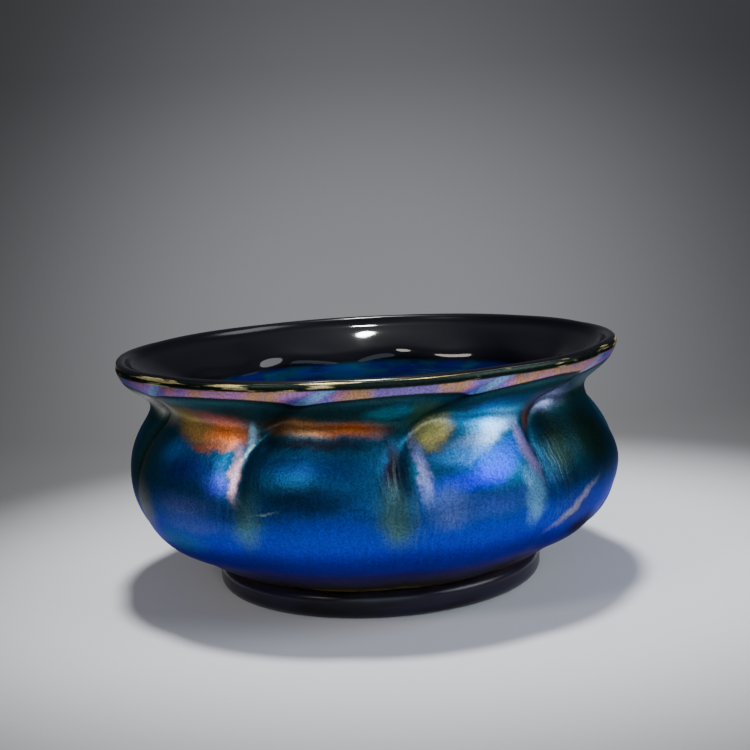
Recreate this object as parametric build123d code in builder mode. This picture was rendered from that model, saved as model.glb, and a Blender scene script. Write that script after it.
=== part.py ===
from build123d import *
import os
from math import cos, pi, radians, sin, sqrt

os.makedirs("parts", exist_ok=True)

# ---- overall sizes, mm ----
rim_radius = 91.9  # outside of the lip, on the lobes
bowl_height = 86.0  # table to the top of the lip
foot_radius = 59.4  # outside of the foot ring

# ---- the blown glass ----
lip_wall = 4.4
lip_round = 0.42  # the lip's edges are fire-polished to this share of its wall
belly_wall = 5.6
floor_wall = 8.0
casing_wall = 0.8  # the lustre glass cased over the dark gather

# ---- the outside curve over the top of a lobe: share of the rim radius, share of the height ----
heel = (0.793, 0.211)
haunch = (0.863, 0.250)
belly = (0.980, 0.530)
shoulder = (0.921, 0.700)
neck = (0.866, 0.815)
flare = (0.960, 0.915)
foot_side = 1.4  # the foot's middle, to the right of the middle of the whole
lip_sway = -1.6  # the lip sits this far to the left of the foot

# ---- the foot, and the pontil scar ground out of the underside ----
ring_width = 10.0
ring_height = 9.6
ring_edge = 3.6  # the edges of the trail are melted to this radius
seat_height = 8.8  # the underside of the bowl, sunk a little into the ring
pontil_radius = 17.0
pontil_depth = 1.6

# ---- ten grooves pinched in by hand, each at its own place (degrees round from the front) ----
grooves = [6, 40, 85, 110, 148, 185, 221, 255, 287, 329]
reach = 18  # degrees to each side that a groove pulls the glass in
belly_groove = 1.6
shoulder_groove = 5.2  # where the jacks bit deepest
lip_groove = 1.2
inside_groove = 0.7  # the inside follows the outside by this share
groove_softness = 0.12  # 0 would be a knife-sharp crease
lip_twist = 24.0  # the lip is turned this far past the belly, degrees
dragged = 2  # one groove was bitten deeper and dragged sideways low on the belly
extra_bite = 0.45
low_drag = -20.0

stations = 24  # rings of each loft, foot to lip
marks = 4  # spline points to each lobe


def ease(x):
    x = min(max(x, 0), 1)
    return x * x * (3 - 2 * x)


def groove_angle(i, rise):
    turn = lip_twist * min(max((rise - 0.65) / 0.32, 0), 1) ** 1.7
    drag = low_drag * ease((0.52 - rise) / 0.26) if i == dragged else 0
    return grooves[i] + turn + drag


def groove_bite(i, rise):
    up = ease((rise - 0.42) / 0.28)
    bite = belly_groove * ease(rise / 0.18) + (shoulder_groove - belly_groove) * up
    bite -= (shoulder_groove - lip_groove) * ease((rise - 0.74) / 0.22)
    return bite * (1 + extra_bite * up) if i == dragged else bite


def pinch(away):
    """How far in the glass is at this share of a groove's reach: 1 in the crease, 0 beyond."""
    if abs(away) >= 1:
        return 0
    soft = groove_softness
    return 1 - (sqrt(sin(pi * away / 2) ** 2 + soft**2) - soft) / (sqrt(1 + soft**2) - soft)


def lobed_ring(radius, rise, share):
    """Points round one ring of the lobed glass, front first and turning to the right."""
    count = len(grooves)
    angles = [groove_angle(i, rise) for i in range(count)]
    middle = foot_side + lip_sway * ease((rise - 0.5) / 0.4)
    ring = []
    for i in range(count):
        gap = (angles[(i + 1) % count] - angles[i]) % 360
        for k in range(marks):
            at = angles[i] + gap * k / marks
            cut = sum(
                groove_bite(j, rise) * pinch(((at - angles[j] + 180) % 360 - 180) / reach)
                for j in range(count)
            )
            r = radius - share * cut
            ring.append((middle + r * sin(radians(at)), -r * cos(radians(at))))
    return ring


with BuildLine() as outside:
    Spline(
        (foot_radius - 0.54 * ring_width, seat_height),
        *[
            (share * rim_radius, rise * bowl_height)
            for share, rise in (heel, haunch, belly, shoulder, neck, flare)
        ],
        (rim_radius, bowl_height),
        tangents=[(1, 0.12), (0.25, 1)],
    )
curve = outside.edges()[0]


def wall_spot(t, wall):
    """The point at share t of the outside curve, moved into the glass by the wall, and its rise."""
    spot, along = curve.position_at(t), curve.tangent_at(t)
    return spot.X - wall * along.Y, spot.Y + wall * along.X, spot.Y / bowl_height


# The inside curve: a gently dished floor, then the outside curve moved in by a thinning wall.
inside_points = [(0.3 * foot_radius, seat_height + floor_wall)]
for t in (0.16, 0.28, 0.40, 0.52, 0.64, 0.76, 0.82, 0.88, 0.94, 1.0):
    wall = floor_wall + (belly_wall - floor_wall) * ease(t / 0.4)
    wall += (lip_wall - belly_wall) * ease((t - 0.5) / 0.4)
    inside_points.append(wall_spot(t, wall)[:2])
with BuildLine() as inside:
    Spline(*inside_points, tangents=[(1, 0.02), (0.25, 1)])
inside_curve = inside.edges()[0]


# The whole outside of the blown bowl, solid, foot seat to lip.
with BuildPart() as blown:
    for k in range(stations + 1):
        radius, height, rise = wall_spot(k / stations, 0)
        with BuildSketch(Plane.XY.offset(height)):
            with BuildLine():
                Spline(*lobed_ring(radius, rise, 1), periodic=True)
            make_face()
    loft()

# The same shape one casing thickness further in, where the two glasses meet.
with BuildPart() as gather:
    for k in range(stations + 1):
        radius, height, rise = wall_spot(k / stations, casing_wall)
        with BuildSketch(Plane.XY.offset(height)):
            with BuildLine():
                Spline(*lobed_ring(radius, rise, 1), periodic=True)
            make_face()
    loft()

# The hollow: its grooves are shallower than the ones outside.
with BuildPart() as hollow:
    for k in range(stations + 1):
        spot = inside_curve.position_at(k / stations)
        with BuildSketch(Plane.XY.offset(spot.Y)):
            with BuildLine():
                ring = lobed_ring(spot.X, spot.Y / bowl_height, inside_groove * ease(k / 8))
                Spline(*ring, periodic=True)
            make_face()
    loft()

# The bowl in one: hollowed, the lip fire-polished round, the pontil scar ground out.
with BuildPart() as bowl:
    add(blown.part)
    add(hollow.part, mode=Mode.SUBTRACT)
    lip_face = bowl.faces().sort_by(Axis.Z)[-1]
    fillet(lip_face.edges(), lip_round * lip_wall)
    with Locations((foot_side, 0, seat_height)):
        Cylinder(pontil_radius, 2 * pontil_depth, mode=Mode.SUBTRACT)

with BuildPart() as outer_casing:
    add(bowl.part)
    add(gather.part, mode=Mode.SUBTRACT)

with BuildPart() as inner_glass:
    add(bowl.part)
    add(gather.part, mode=Mode.INTERSECT)

# The foot: a trail of glass wound on hot, melted to round edges, the bowl sunk into its top.
with BuildPart() as foot_ring:
    with BuildSketch(Plane.XZ):
        with Locations((foot_side + foot_radius - ring_width / 2, ring_height / 2)):
            RectangleRounded(ring_width, ring_height, ring_edge)
    revolve(axis=Axis((foot_side, 0, 0), (0, 0, 1)))
    add(blown.part, mode=Mode.SUBTRACT)

outer_casing.part.label = "outer_casing"
inner_glass.part.label = "inner_glass"
foot_ring.part.label = "foot_ring"
export_step(outer_casing.part, "parts/outer_casing.step")
export_step(inner_glass.part, "parts/inner_glass.step")
export_step(foot_ring.part, "parts/foot_ring.step")
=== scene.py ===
import math

import bpy
import numpy as np
from mathutils import Matrix, Vector


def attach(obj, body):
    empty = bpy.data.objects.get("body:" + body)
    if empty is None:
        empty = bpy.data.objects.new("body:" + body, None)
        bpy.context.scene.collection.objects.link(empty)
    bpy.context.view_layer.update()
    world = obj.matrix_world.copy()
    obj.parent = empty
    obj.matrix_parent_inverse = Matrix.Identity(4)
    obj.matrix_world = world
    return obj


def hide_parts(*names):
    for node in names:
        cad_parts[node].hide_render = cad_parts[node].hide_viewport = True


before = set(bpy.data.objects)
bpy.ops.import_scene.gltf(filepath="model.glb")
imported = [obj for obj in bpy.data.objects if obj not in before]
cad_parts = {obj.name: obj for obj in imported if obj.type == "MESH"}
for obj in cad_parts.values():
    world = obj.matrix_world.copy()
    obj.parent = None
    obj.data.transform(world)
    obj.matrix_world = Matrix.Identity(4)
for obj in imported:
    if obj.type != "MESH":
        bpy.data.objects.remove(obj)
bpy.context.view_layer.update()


# --- Outer casing ---------------------------------------------------------------------------
# The skin of silver-lustre glass cased over the dark gather and blown out with it. It is fumed
# hot with metal salts, which leave a film a few hundred nanometres thick: that film makes the
# colours. Ten grooves are pinched into it, and the jacks squeeze the neck in below the lip.
MM = 0.001
RIM_RADIUS, BOWL_HEIGHT, FOOT_RADIUS = 91.9, 86.0, 59.4
SEAT_HEIGHT = 8.8
FOOT_SIDE, LIP_SWAY = 1.4, -1.6
OUTSIDE = [
    (54.0, SEAT_HEIGHT), (72.9, 18.1), (79.3, 21.5), (90.05, 45.6),
    (84.65, 60.2), (79.6, 70.1), (88.2, 78.7), (RIM_RADIUS, BOWL_HEIGHT),
]
GROOVES = [6, 40, 85, 110, 148, 185, 221, 255, 287, 329]
GROOVE_REACH, CREASE_REACH = 18.0, 3.6
BELLY_GROOVE, SHOULDER_GROOVE, LIP_GROOVE = 1.6, 5.2, 1.2
LIP_TWIST = 24.0
DRAGGED, EXTRA_BITE, LOW_DRAG = 2, 0.45, -20.0
CASING_WALL, LIP_WALL, BELLY_WALL, FLOOR_WALL = 0.8, 4.4, 5.6, 8.0
PONTIL_RADIUS, PONTIL_DEPTH = 17.0, 1.6
FLAT_RING = 40.0  # an extra ring of faces across the flat underside
LOBED_FROM = 30.0  # the grooves don't reach nearer the middle than this
SKIN_STEPS, PROFILE_STEPS = 480, 240  # facets round the glass, and points up its curve


def ease(x):
    x = np.clip(x, 0, 1)
    return x * x * (3 - 2 * x)


def smooth_curve(points, start, end, count):
    """A cubic spline through the points with set end directions, at even steps along its chords."""
    points = np.array(points, float)
    knots = np.r_[0, np.cumsum(np.hypot(*np.diff(points, axis=0).T))]
    gaps = np.diff(knots)
    start, end = (np.array(d) / np.hypot(*d) for d in (start, end))
    size = len(points)
    matrix, right = np.zeros((size, size)), np.zeros((size, 2))
    matrix[0, 0] = matrix[-1, -1] = 1
    right[0], right[-1] = start, end
    for i in range(1, size - 1):
        matrix[i, i - 1 : i + 2] = gaps[i], 2 * (gaps[i - 1] + gaps[i]), gaps[i - 1]
        right[i] = 3 * (
            gaps[i] * (points[i] - points[i - 1]) / gaps[i - 1]
            + gaps[i - 1] * (points[i + 1] - points[i]) / gaps[i]
        )
    slopes = np.linalg.solve(matrix, right)
    at = np.linspace(0, knots[-1], count)
    i = np.clip(np.searchsorted(knots, at, side="right") - 1, 0, size - 2)
    h = gaps[i][:, None]
    t = ((at - knots[i]) / gaps[i])[:, None]
    spot = (
        (1 + 2 * t) * (1 - t) ** 2 * points[i] + t * (1 - t) ** 2 * h * slopes[i]
        + t * t * (3 - 2 * t) * points[i + 1] + t * t * (t - 1) * h * slopes[i + 1]
    )
    along = np.gradient(spot, axis=0)
    return spot, along / np.hypot(*along.T)[:, None]


def pinched(around, rise, crease_share):
    """How far the grooves pull the glass in, in mm, and how near the crest of a lobe it is."""
    bite = BELLY_GROOVE * ease(rise / 0.18)
    up = ease((rise - 0.42) / 0.28)
    bite = bite + (SHOULDER_GROOVE - BELLY_GROOVE) * up
    bite = bite - (SHOULDER_GROOVE - LIP_GROOVE) * ease((rise - 0.74) / 0.22)
    turn = LIP_TWIST * np.clip((rise - 0.65) / 0.32, 0, 1) ** 1.7
    cut, nearest = 0, 0
    for i, groove in enumerate(GROOVES):
        drag = LOW_DRAG * ease((0.52 - rise) / 0.26) if i == DRAGGED else 0
        away = (around - groove - turn - drag + 180) % 360 - 180
        away = np.clip(away / GROOVE_REACH, -1, 1)
        broad = np.cos(np.pi * away / 2) ** 2
        crease = np.exp(-((away * GROOVE_REACH / CREASE_REACH) ** 2))
        pinch = (1 - crease_share) * broad + crease_share * crease
        cut = cut + pinch * bite * (1 + (EXTRA_BITE * up if i == DRAGGED else 0))
        nearest = np.maximum(nearest, pinch)
    return cut, 1 - nearest


def lobed_skin(name, outline, rises, shares, creases, steps, closed_ends):
    """A skin turned from an outline (radius, height in mm), its rings pulled in by the grooves."""
    around = np.linspace(0, 360, steps, endpoint=False)[None, :]
    rises, shares, creases = (np.array(v, float)[:, None] for v in (rises, shares, creases))
    cut, crest = pinched(around, rises, creases)
    radius = outline[:, :1] - shares * cut * (outline[:, :1] > LOBED_FROM)
    middle = FOOT_SIDE + LIP_SWAY * ease((rises - 0.5) / 0.4)
    turn = np.radians(around)
    x, y = middle + radius * np.sin(turn), -radius * np.cos(turn)
    z = np.broadcast_to(outline[:, 1:], x.shape)
    points = np.stack([x, y, z], -1).reshape(-1, 3) * MM
    rows = len(outline)
    faces = []
    for i in range(rows if not closed_ends else rows - 1):
        a, b = i * steps, (i + 1) % rows * steps
        for j in range(steps):
            k = (j + 1) % steps
            faces.append((a + j, a + k, b + k, b + j))
    if closed_ends:
        faces.append(tuple(range(steps - 1, -1, -1)))
        faces.append(tuple((rows - 1) * steps + j for j in range(steps)))
    mesh = bpy.data.meshes.new(name)
    mesh.from_pydata(points.tolist(), [], faces)
    mesh.validate()
    mesh.shade_smooth()
    mesh.attributes.new("crest", "FLOAT", "POINT").data.foreach_set("value", crest.ravel())
    piece = bpy.data.objects.new(name, mesh)
    bpy.context.scene.collection.objects.link(piece)
    return piece


skin, along = smooth_curve(OUTSIDE, (1, 0.12), (0.25, 1), PROFILE_STEPS)
inward = np.stack([-along[:, 1], along[:, 0]], 1)
travel = np.linspace(0, 1, len(skin))
LIP_EDGE = LIP_WALL / 2
top = int(np.searchsorted(skin[:, 1], BOWL_HEIGHT - LIP_EDGE - 0.5))
wall = FLOOR_WALL + (BELLY_WALL - FLOOR_WALL) * ease(travel / 0.4)
wall = wall + (LIP_WALL - BELLY_WALL) * ease((travel - 0.5) / 0.4)
lip_turns = np.radians(np.linspace(0, 180, 25))
lip_middle = skin[top] + inward[top] * LIP_EDGE
lip = np.array([
    lip_middle + LIP_EDGE * (-math.cos(a) * inward[top] + math.sin(a) * along[top])
    for a in lip_turns
])
SPLIT = 9  # where round the lip the casing ends and the inner glass shows
body_skin = skin[: top + 1 : 2]
casing_rises = list(body_skin[:, 1] / BOWL_HEIGHT)
lip_rises = [skin[top, 1] / BOWL_HEIGHT] * len(lip)
under = body_skin[0] + inward[0] * CASING_WALL
lining = body_skin + inward[: top + 1 : 2] * CASING_WALL
outline = np.vstack([
    [(PONTIL_RADIUS, SEAT_HEIGHT), (FLAT_RING, SEAT_HEIGHT)], body_skin, lip[1:SPLIT],
    lining[::-1][1:], [(FLAT_RING, under[1]), (PONTIL_RADIUS, under[1])],
])
rises = [casing_rises[0]] * 2 + casing_rises + lip_rises[1:SPLIT] + casing_rises[::-1][1:]
rises += [casing_rises[0]] * 2
ones, halves = [1.0] * len(rises), [0.5] * len(rises)
casing = lobed_skin("outer_casing_skin", outline, rises, ones, halves, SKIN_STEPS, False)


def linear(code):
    """The colour of an sRGB hex code, as the shaders want it."""
    channels = [int(code[i : i + 2], 16) / 255 for i in (0, 2, 4)]
    return tuple(
        c / 12.92 if c <= 0.04045 else ((c + 0.055) / 1.055) ** 2.4 for c in channels
    ) + (1.0,)


def node(tree, kind, settings=None, **links):
    """One shader node, its settings made and its inputs set or linked, by name or as i0, i1..."""
    made = tree.nodes.new(kind)
    for key, value in (settings or {}).items():
        setattr(made, key, value)
    for key, value in links.items():
        by_number = key[0] == "i" and key[1:].isdigit()
        socket = made.inputs[int(key[1:]) if by_number else key.replace("_", " ")]
        if isinstance(value, bpy.types.NodeSocket):
            tree.links.new(value, socket)
        else:
            socket.default_value = value
    return made


def maths(tree, operation, *values):
    """One step of arithmetic on numbers or other nodes' outputs."""
    inputs = {f"i{k}": value for k, value in enumerate(values)}
    return node(tree, "ShaderNodeMath", {"operation": operation}, **inputs).outputs[0]


def vectors(tree, operation, one, other):
    """One step of arithmetic on two vectors."""
    made = node(tree, "ShaderNodeVectorMath", {"operation": operation}, i0=one, i1=other)
    return made.outputs[0]


def step(tree, value, low, high, most=1.0):
    """Eases from 0 at low to the most at high; low may be the greater."""
    ramp = {"interpolation_type": "SMOOTHSTEP"}
    return node(tree, "ShaderNodeMapRange", ramp, Value=value, i1=low, i2=high, i4=most).outputs[0]


def blend(tree, share, under, over):
    """One colour laid over another by a share from 0 to 1."""
    made = node(tree, "ShaderNodeMix", {"data_type": "RGBA"}, i0=share, i6=under, i7=over)
    return made.outputs[2]


def noise(tree, at, scale, detail=3.0, roughness=0.5):
    """A cloudy noise with this many cells to a unit."""
    return node(
        tree, "ShaderNodeTexNoise", Vector=at, Scale=scale, Detail=detail, Roughness=roughness
    )


def pushed(tree, at, texture, amount):
    """The place moved about by a noise, in degrees and mm."""
    off = vectors(tree, "SUBTRACT", texture.outputs["Color"], (0.5, 0.5, 0.5))
    return vectors(tree, "ADD", at, vectors(tree, "MULTIPLY", off, (amount, amount, 0.0)))


def ramp_of(tree, value, stops):
    """A colour ramp with (position, sRGB hex) stops."""
    made = node(tree, "ShaderNodeValToRGB", Fac=value)
    marks = made.color_ramp.elements
    for mark, (at, code) in zip(marks, (stops[0], stops[-1])):
        mark.position, mark.color = at, linear(code)
    for at, code in stops[1:-1]:
        marks.new(at).color = linear(code)
    return made.outputs["Color"]


def new_material(name):
    """A material with its node tree and its shader."""
    material = bpy.data.materials.new(name)
    material.use_nodes = True
    return material, material.node_tree, material.node_tree.nodes["Principled BSDF"]


lustre, tree, shader = new_material("silver_lustre_glass")
place = node(tree, "ShaderNodeTexCoord").outputs["Object"]
crest = node(tree, "ShaderNodeAttribute", {"attribute_name": "crest"}).outputs["Fac"]

# Where a point lies: degrees round from the front, and mm up. What the front half shows comes
# again on the back half, where the grooves stand nearly the same.
part = node(tree, "ShaderNodeSeparateXYZ", Vector=place).outputs
around = maths(tree, "ARCTAN2", part["X"], maths(tree, "MULTIPLY", part["Y"], -1.0))
around = maths(tree, "WRAP", maths(tree, "DEGREES", around), 90.0, -90.0)
height = maths(tree, "DIVIDE", part["Z"], MM)
lie = node(tree, "ShaderNodeCombineXYZ", X=around, Y=height).outputs[0]

# Slow drifts of the fume, 25 mm and 4 mm across, push every colour border about.
drift = noise(tree, place, 1 / (25 * MM))
ragged = noise(tree, place, 1 / (4 * MM), 4.0, 0.65)
spot = pushed(tree, pushed(tree, lie, drift, 6.0), ragged, 3.5)
spot_height = node(tree, "ShaderNodeSeparateXYZ", Vector=spot).outputs["Y"]

# The film by height above the table, in mm: gold on the flat underside and in the corner by the
# foot, then violet, blue, teal, and dark teal in the neck.
colour = ramp_of(tree, maths(tree, "DIVIDE", spot_height, BOWL_HEIGHT), [
    (at / BOWL_HEIGHT, code) for at, code in (
        (9.3, "C0A858"), (11, "54483C"), (14, "504A58"), (18, "4C4088"), (22, "30289C"),
        (26, "1A249C"),
        (31, "0E2EAE"), (37, "0A36A8"), (44, "0A4484"), (50, "0A4A74"), (58, "0C5C8C"),
        (64, "0C5070"), (69, "1C484C"), (73, "2A5456"), (79, "2C5860"),
    )
])

# Patches where the fume lay thicker or thinner, and patches of painted highlight, painted
# reflection and painted shade, set down in turn: (degrees round, mm up, half width in degrees,
# half height in mm, tilt in degrees, colour).
PATCHES = [
    # the left lobe: olive shoulder with pale grey painted reflection towards its far edge, an
    # orange corner that is film brightened by painted highlight, blue and violet below, and a
    # pink-white and a pale cyan painted highlight on its flank by the groove
    (-70, 54, 11, 16, 0, "2C5048"), (-62, 74, 12, 6, 0, "CFCEC0"), (-66, 40, 8, 7, 0, "7A8482"),
    (-45, 76, 9, 2.4, 0, "4C7073"), (-47, 71, 7, 4, 0, "AD9955"), (-38, 72, 7, 2.8, -10, "C47D79"),
    (-45, 67, 7, 3, 0, "CEA05A"), (-36, 67, 6, 3.6, -6, "F7843C"), (-41, 63, 6, 1.4, 0, "AD694C"),
    (-50, 60, 5, 4, 0, "1B84E0"), (-44, 56, 8, 5, 0, "14378F"), (-36, 51, 3.5, 4, 0, "384BD6"),
    (-46, 43, 9, 5, 0, "4A5DA7"), (-44, 37, 9, 3, 0, "3E50A1"), (-50, 31, 9, 4, 0, "205993"),
    (-32, 54, 1.4, 8, 5, "F4CCEC"), (-29.5, 64, 1, 6, -12, "90C4DC"),
    # a V-shaped scratch and a dark seed beside the left groove
    (-28.6, 44.3, 0.4, 3.2, 29, "7C94A4"), (-23.5, 43.5, 3.6, 0.35, 22, "7B99AA"),
    (-25, 40.5, 0.5, 1.1, -35, "020304"),
    # the middle lobe: brown-orange shoulder, film brightened by painted highlight; a teal painted
    # glint by the right groove; deep teal, vivid blue under the belly; and along the right groove a
    # dark band of painted shade
    (-16, 69.5, 9, 2.8, -4, "8C6038"), (-4, 69, 8, 2.6, -4, "8C4418"),
    (5, 74.5, 5, 2, 10, "3EB8CD"),
    (-12, 64.5, 14, 2, 0, "1D2738"), (-14, 58, 13, 4, 0, "053873"), (-12, 50, 12, 5, 0, "082847"),
    (-10, 38, 11, 6, 0, "0A37AB"), (-28, 41, 3.4, 9, -6, "4A7C8C"),
    (5, 56, 3, 13, -4, "0C0513"), (5, 41, 4, 9, 6, "3C6468"),
    # the right lobe, which faces the lamp: a cyan-white band and lilac edges of painted highlight,
    # yellow film brightened by painted highlight, blue film below, and past its right edge a black
    # patch of painted shadow
    (29, 71.5, 11, 3.2, 14, "2088CB"), (31, 68, 10, 3.4, 22, "4CB4F7"),
    (27, 64, 10, 2.8, 20, "8CC0F7"),
    (15, 66.5, 3, 5, -32, "F7E78A"), (19, 59.5, 6, 2.4, 12, "429BF7"),
    (28, 57, 9, 3.6, 14, "0544C4"),
    (21, 52, 9, 3, 12, "0820E0"), (11, 56, 1.2, 9, 0, "9CA8F4"), (37.5, 56, 1.8, 8, 4, "B4A4F0"),
    (24, 44, 9, 4, 0, "3355B2"), (15, 44, 4, 7, 0, "4E67B3"), (36, 43, 3, 8, 0, "64A2D4"),
    (42, 67, 1.5, 4, -20, "A06860"), (47, 57, 5, 15, -8, "050505"),
    # the lobe at the right: nearly bare dark glass, and a painted highlight along a fold running
    # down to the foot
    (50, 72, 8, 4, 0, "828ABD"), (59, 57, 16, 15, 0, "0E2824"), (50, 34, 6, 7, 0, "2A3484"),
    (49, 36, 1.3, 9, -45, "80809A"), (55, 26, 6, 4, 0, "05051F"),
]
for at, up, wide, tall, tilt, code in PATCHES:
    off = node(
        tree, "ShaderNodeMapping", {"vector_type": "TEXTURE"}, Vector=spot,
        Location=(at, up, 0), Rotation=(0, 0, math.radians(tilt)), Scale=(wide, tall, 1),
    )
    away = node(tree, "ShaderNodeVectorMath", {"operation": "LENGTH"}, i0=off.outputs[0])
    colour = blend(tree, step(tree, away.outputs["Value"], 1.6, 0.2), colour, linear(code))

# Beside the grooves the glass was dragged: fine grey-green stretch lines, 1 mm wide and 16 mm
# long. Down in the crease, painted shade darkens the film nearly to black.
drawn = vectors(tree, "MULTIPLY", pushed(tree, lie, drift, 6.0), (1.6, 0.06, 1.0))
lines = noise(tree, drawn, 1.0, 3.0, 0.6).outputs["Fac"]
above_foot, below_shoulder = step(tree, height, 28.0, 36.0, 0.3), step(tree, height, 64.0, 50.0)
beside = maths(tree, "MULTIPLY", step(tree, crest, 0.8, 0.3), above_foot)
beside = maths(tree, "MULTIPLY", beside, below_shoulder)
beside = maths(tree, "MULTIPLY", beside, step(tree, lines, 0.46, 0.66))
colour = blend(tree, beside, colour, linear("506C68"))
# painted shade: from 34 mm up, the film darkens towards the bottom of each crease
up_belly = step(tree, height, 34.0, 50.0, 0.35)
crease = maths(tree, "MULTIPLY", step(tree, crest, 0.34, 0.06), up_belly)
colour = blend(tree, crease, colour, linear("0A1216"))

# Under the lip, from a crisp edge that dips at each groove, the film runs violet, pink and
# orange by turns, 28 mm each, and pale blue where a groove crosses it; its paleness is partly a
# painted reflection of the table. Painted shadow darkens the neck along that edge.
DIP, FLARE_FROM = 2.6, 78.2
edge = maths(tree, "SUBTRACT", height, maths(tree, "MULTIPLY", crest, DIP))
# painted shadow along the neck, just under the flare's edge
painted_neck_shadow = step(tree, edge, FLARE_FROM - 2.2, FLARE_FROM - 0.4, 0.75)
colour = blend(tree, painted_neck_shadow, colour, linear("060A0C"))
# the flare's film colours, paler in part as a painted reflection of the table
hues = ramp_of(tree, noise(tree, place, 1 / (28 * MM), 2.0).outputs["Fac"], [
    (0.36, "6C7CA4"), (0.43, "7C68C4"), (0.50, "B47CA0"), (0.57, "B88C60"), (0.64, "806CB0"),
])
flare = step(tree, edge, FLARE_FROM - 0.2, FLARE_FROM + 0.3)
colour = blend(tree, flare, colour, hues)
in_groove = maths(tree, "MULTIPLY", flare, step(tree, crest, 0.22, 0.06, 0.8))
colour = blend(tree, in_groove, colour, linear("7CA8D8"))

# The lip itself is fire-polished: nearly bare green-black glass with broken gold streaks,
# about 16 mm long and 1 mm high, partly lustre and partly painted highlight.
streaks = noise(tree, vectors(tree, "MULTIPLY", place, (60.0, 60.0, 900.0)), 1.0).outputs["Fac"]
thick = step(tree, drift.outputs["Fac"], 0.44, 0.56)
# gold streaks: partly lustre, partly painted highlight
gold = maths(tree, "MULTIPLY", step(tree, streaks, 0.52, 0.60), thick)
lip_colour = blend(tree, gold, linear("1A2620"), linear("D8C88C"))
LIP_FROM = 83.0
colour = blend(tree, step(tree, height, LIP_FROM, LIP_FROM + 0.6), colour, lip_colour)

# A crazed grain 0.7 mm across, and faintly the stretch lines, break the film up everywhere.
grain = noise(tree, place, 1 / (0.7 * MM), 2.0, 0.6).outputs["Fac"]
crazed = maths(tree, "MULTIPLY_ADD", lines, 0.35, grain)
weight = node(tree, "ShaderNodeMapRange", Value=crazed, i1=0.47, i2=0.88, i3=0.66, i4=1.36)
grained = node(
    tree, "ShaderNodeVectorMath", {"operation": "SCALE"}, i0=colour, Scale=weight.outputs[0]
)
tree.links.new(grained.outputs[0], shader.inputs["Base Color"])
bump = node(tree, "ShaderNodeBump", Strength=0.4, Distance=0.10 * MM, Height=grain)
bump = node(
    tree, "ShaderNodeBump", Strength=0.4, Distance=0.4 * MM, Height=ragged.outputs["Fac"],
    Normal=bump.outputs["Normal"],
)
tree.links.new(bump.outputs["Normal"], shader.inputs["Normal"])
shader.inputs["Metallic"].default_value = 0.85
shader.inputs["Roughness"].default_value = 0.40
shader.inputs["Specular Tint"].default_value = linear("A0A0AC")
casing.data.materials.append(lustre)
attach(casing, "root")
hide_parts("outer_casing")


# --- Inner glass ----------------------------------------------------------------------------
# The first gather of near-black amethyst glass: the inside wall, the core of the lip, the floor
# and the ground pontil spot. It is the same blown skin, seen from inside, and fire-polished.
FLOOR_INSIDE = [(1.0, 16.8), (30.0, 17.0)]
BELL = [(77.9, 75.9), (80.95, 79.0), (84.2, 81.8), (86.0, 83.35)]
INSIDE_GROOVE, FLARE_GROOVE = 0.7, 0.35
WALL_FROM, WALL_TO = 60.0, 74.0  # the wall's own curve: outside this radius, below this height
SKIN_GAP = 0.03  # keeps the gather just under the casing
hollow_line = body_skin + inward[: top + 1 : 2] * wall[: top + 1 : 2, None]
keep = (hollow_line[:, 0] > WALL_FROM) & (hollow_line[:, 1] < WALL_TO)
hollow_line, hollow_rises = hollow_line[keep], np.array(casing_rises)[keep]
floor_line, _ = smooth_curve(
    [*FLOOR_INSIDE, hollow_line[0]], (1, 0), hollow_line[1] - hollow_line[0], 30
)
bell_line, _ = smooth_curve(
    [hollow_line[-1], *BELL, lip[-1]], hollow_line[-1] - hollow_line[-2], (0.37, 0.93), 36
)
hollow_line = np.vstack([floor_line[:-1], hollow_line, bell_line[1:]])[::-1]
bell_rises = np.linspace(hollow_rises[-1], lip_rises[0], len(bell_line))
hollow_rises = np.r_[[0.1] * (len(floor_line) - 1), hollow_rises, bell_rises[1:]][::-1]
core = body_skin + inward[: top + 1 : 2] * (CASING_WALL + SKIN_GAP)
ground = SEAT_HEIGHT + PONTIL_DEPTH
outline = np.vstack([
    [(1.0, ground), (PONTIL_RADIUS, ground), (PONTIL_RADIUS + 0.1, core[0, 1])],
    core, lip[SPLIT - 1 : -1], hollow_line,
])
rises = np.r_[[casing_rises[0]] * 3, casing_rises, lip_rises[SPLIT - 1 : -1], hollow_rises]
rim_count = len(lip) - SPLIT
hollow_shares = (
    INSIDE_GROOVE * ease((hollow_line[:, 0] - 20) / 45)
    - (INSIDE_GROOVE - FLARE_GROOVE) * ease((hollow_rises - 0.80) / 0.10)
)
rim_shares = np.linspace(1, FLARE_GROOVE, rim_count)
shares = np.r_[[0.0] * 3, [1.0] * len(core), rim_shares, hollow_shares]
creases = np.r_[[0.5] * (3 + len(core)), np.linspace(0.5, 0, rim_count), 0 * hollow_rises]
gather = lobed_skin("inner_glass_body", outline, rises, shares, creases, SKIN_STEPS, True)

amethyst, tree, shader = new_material("black_amethyst_glass")
place = node(tree, "ShaderNodeTexCoord").outputs["Object"]
height = maths(tree, "DIVIDE", node(tree, "ShaderNodeSeparateXYZ", Vector=place).outputs["Z"], MM)
# Clouds of lustre, 24 mm round and 8 mm high.
squat = vectors(tree, "MULTIPLY", place, (1.0, 1.0, 3.0))
clouds = noise(tree, squat, 1 / (24 * MM)).outputs["Fac"]
inside = ramp_of(tree, clouds, [
    (0.38, "0A2484"), (0.46, "0A2C78"), (0.54, "0E6474"), (0.62, "0A3C9C"), (0.70, "0A2C50"),
])
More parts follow.
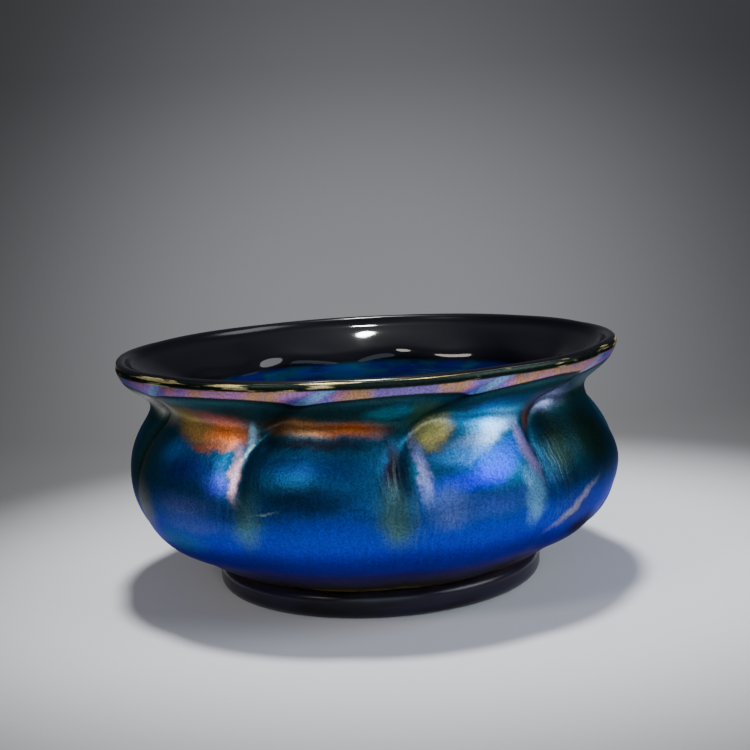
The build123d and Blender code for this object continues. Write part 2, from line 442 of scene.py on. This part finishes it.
# The lustre covers this glass up to the neck, fading from 66 to 70 mm up; the flare is bare.
lustred = step(tree, height, 70.0, 66.0)
colour = blend(tree, lustred, linear("08080E"), inside)
tree.links.new(colour, shader.inputs["Base Color"])
tree.links.new(maths(tree, "MULTIPLY", lustred, 0.85), shader.inputs["Metallic"])
shader.inputs["Roughness"].default_value = 0.5
shader.inputs["IOR"].default_value = 1.52
shader.inputs["Specular IOR Level"].default_value = 0.03
shader.inputs["Coat Weight"].default_value = 0.45
# The lip's top is worn a little duller than the flare.
worn = maths(tree, "ADD", step(tree, height, 83.4, 84.4, 0.14), 0.06)
tree.links.new(worn, shader.inputs["Coat Roughness"])
gather.data.materials.append(amethyst)
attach(gather, "root")
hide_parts("inner_glass")


# --- Foot ring ------------------------------------------------------------------------------
# A trail of the same dark glass wound on hot round the underside. It is melted to a round
# section, sunk a little into the bowl, and its underside is ground flat so that it stands true.
RING_WIDTH, RING_HEIGHT, RING_EDGE = 10.0, 9.6, 3.6
half_width, half_height = RING_WIDTH / 2, RING_HEIGHT / 2
ring_section = []
for x_side, z_side, start in ((1, -1, -90), (1, 1, 0), (-1, 1, 90), (-1, -1, 180)):
    corner_x = FOOT_RADIUS - half_width + x_side * (half_width - RING_EDGE)
    corner_z = half_height + z_side * (half_height - RING_EDGE)
    for a in np.radians(np.linspace(start, start + 90, 10)):
        ring_section.append(
            (corner_x + RING_EDGE * math.cos(a), corner_z + RING_EDGE * math.sin(a))
        )
nothing = [0.0] * len(ring_section)
TRAIL_STEPS = 240
foot = lobed_skin(
    "foot_ring_trail", np.array(ring_section), nothing, nothing, nothing, TRAIL_STEPS, False
)

trail, tree, shader = new_material("dark_trail_glass")
place = node(tree, "ShaderNodeTexCoord").outputs["Object"]
# Smears along the trail, 30 mm long and 7.5 mm high.
flat = vectors(tree, "MULTIPLY", place, (1.0, 1.0, 4.0))
smears = noise(tree, flat, 1 / (30 * MM)).outputs["Fac"]
smeared = ramp_of(tree, smears, [(0.40, "08070C"), (0.62, "1A1628")])
tree.links.new(smeared, shader.inputs["Base Color"])
shader.inputs["Roughness"].default_value = 0.28
shader.inputs["Specular IOR Level"].default_value = 0.3
foot.data.materials.append(trail)
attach(foot, "root")
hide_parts("foot_ring")


# --- Table, backdrop, light and camera --------------------------------------------------------
# A pale matt table runs up into a grey paper sweep. A small lamp hangs overhead, a large soft one
# stands to the right, a weak one to the left, and a wide cool fill stands behind the camera.
def sweep_sheet(name, width, front, back, radius, height):
    """A sheet of paper that lies flat and then curves up, all in metres."""
    points = [(front, 0.0), (back - radius, 0.0)]
    for a in np.radians(np.linspace(5, 90, 18)):
        points.append((back - radius + radius * math.sin(a), radius - radius * math.cos(a)))
    points.append((back, height))
    verts = [(side * width / 2, y, z) for y, z in points for side in (-1, 1)]
    faces = [(2 * i, 2 * i + 1, 2 * i + 3, 2 * i + 2) for i in range(len(points) - 1)]
    mesh = bpy.data.meshes.new(name)
    mesh.from_pydata(verts, [], faces)
    mesh.shade_smooth()
    sheet = bpy.data.objects.new(name, mesh)
    bpy.context.scene.collection.objects.link(sheet)
    return sheet


table = sweep_sheet("paper_sweep", 3.0, -1.2, 0.50, 0.22, 1.2)
paper, tree, shader = new_material("matt_paper")
place = node(tree, "ShaderNodeTexCoord").outputs["Object"]
# A painted pool of light: the table is pale 0.11 to 0.25 m from its middle, under the lamp; the
# backdrop is grey, and painted falloff makes it darker away from its own middle.
off = vectors(tree, "SUBTRACT", place, (0.02, 0.02, 0.0))
away = node(tree, "ShaderNodeVectorMath", {"operation": "LENGTH"}, i0=off).outputs["Value"]
off = vectors(tree, "SUBTRACT", place, (0.0, 0.0, 0.06))
off = vectors(tree, "MULTIPLY", off, (1.0, 0.0, 1.0))
aside = node(tree, "ShaderNodeVectorMath", {"operation": "LENGTH"}, i0=off).outputs["Value"]
colour = blend(tree, step(tree, aside, 0.34, 0.04), linear("1E1E20"), linear("5C5C5E"))
colour = blend(tree, step(tree, away, 0.25, 0.11), colour, linear("BCBEC2"))
tree.links.new(colour, shader.inputs["Base Color"])
shader.inputs["Roughness"].default_value = 0.9
table.data.materials.append(paper)


def soft_lamp(name, place, aim, width, height, watts, colour):
    """An oval area lamp at a place, turned to an aim, in metres and watts."""
    light = bpy.data.lights.new(name, "AREA")
    light.shape, light.size, light.size_y = "ELLIPSE", width, height
    light.energy, light.color = watts, linear(colour)[:3]
    lamp = bpy.data.objects.new(name, light)
    bpy.context.scene.collection.objects.link(lamp)
    lamp.location = place
    way = np.array(aim) - np.array(place)
    lamp.rotation_euler = Vector(way).to_track_quat("-Z", "Y").to_euler()
    return lamp


soft_lamp("overhead_lamp", (-0.03, 0.02, 1.35), (0, 0, 0), 0.14, 0.14, 29, "FFFFFF")
soft_lamp("side_lamp", (0.95, -0.42, 0.62), (0, 0, 0.05), 0.9, 0.7, 13.0, "F4F8FF")
soft_lamp("left_lamp", (-0.70, -0.72, 0.72), (0, 0, 0.05), 0.3, 0.3, 5.0, "FFF6EC")
soft_lamp("room_fill", (0.0, -2.2, 0.6), (0, 0, 0.1), 2.4, 1.2, 18.0, "C8D8F0")

world = bpy.data.worlds.new("studio")
bpy.context.scene.world = world
world.use_nodes = True
world.node_tree.nodes["Background"].inputs["Color"].default_value = linear("808890")
world.node_tree.nodes["Background"].inputs["Strength"].default_value = 0.15

lens = bpy.data.cameras.new("camera")
lens.sensor_width, lens.lens = 36.0, 68.36
camera = bpy.data.objects.new("camera", lens)
bpy.context.scene.collection.objects.link(camera)
camera.matrix_world = (
    Matrix.Translation((FOOT_SIDE * MM, -0.5189, 0.1517))
    @ Matrix.Rotation(math.radians(-0.181), 4, "Z")
    @ Matrix.Rotation(math.radians(90 - 8.505), 4, "X")
    @ Matrix.Rotation(math.radians(-3.068), 4, "Z")
)
bpy.context.scene.camera = camera
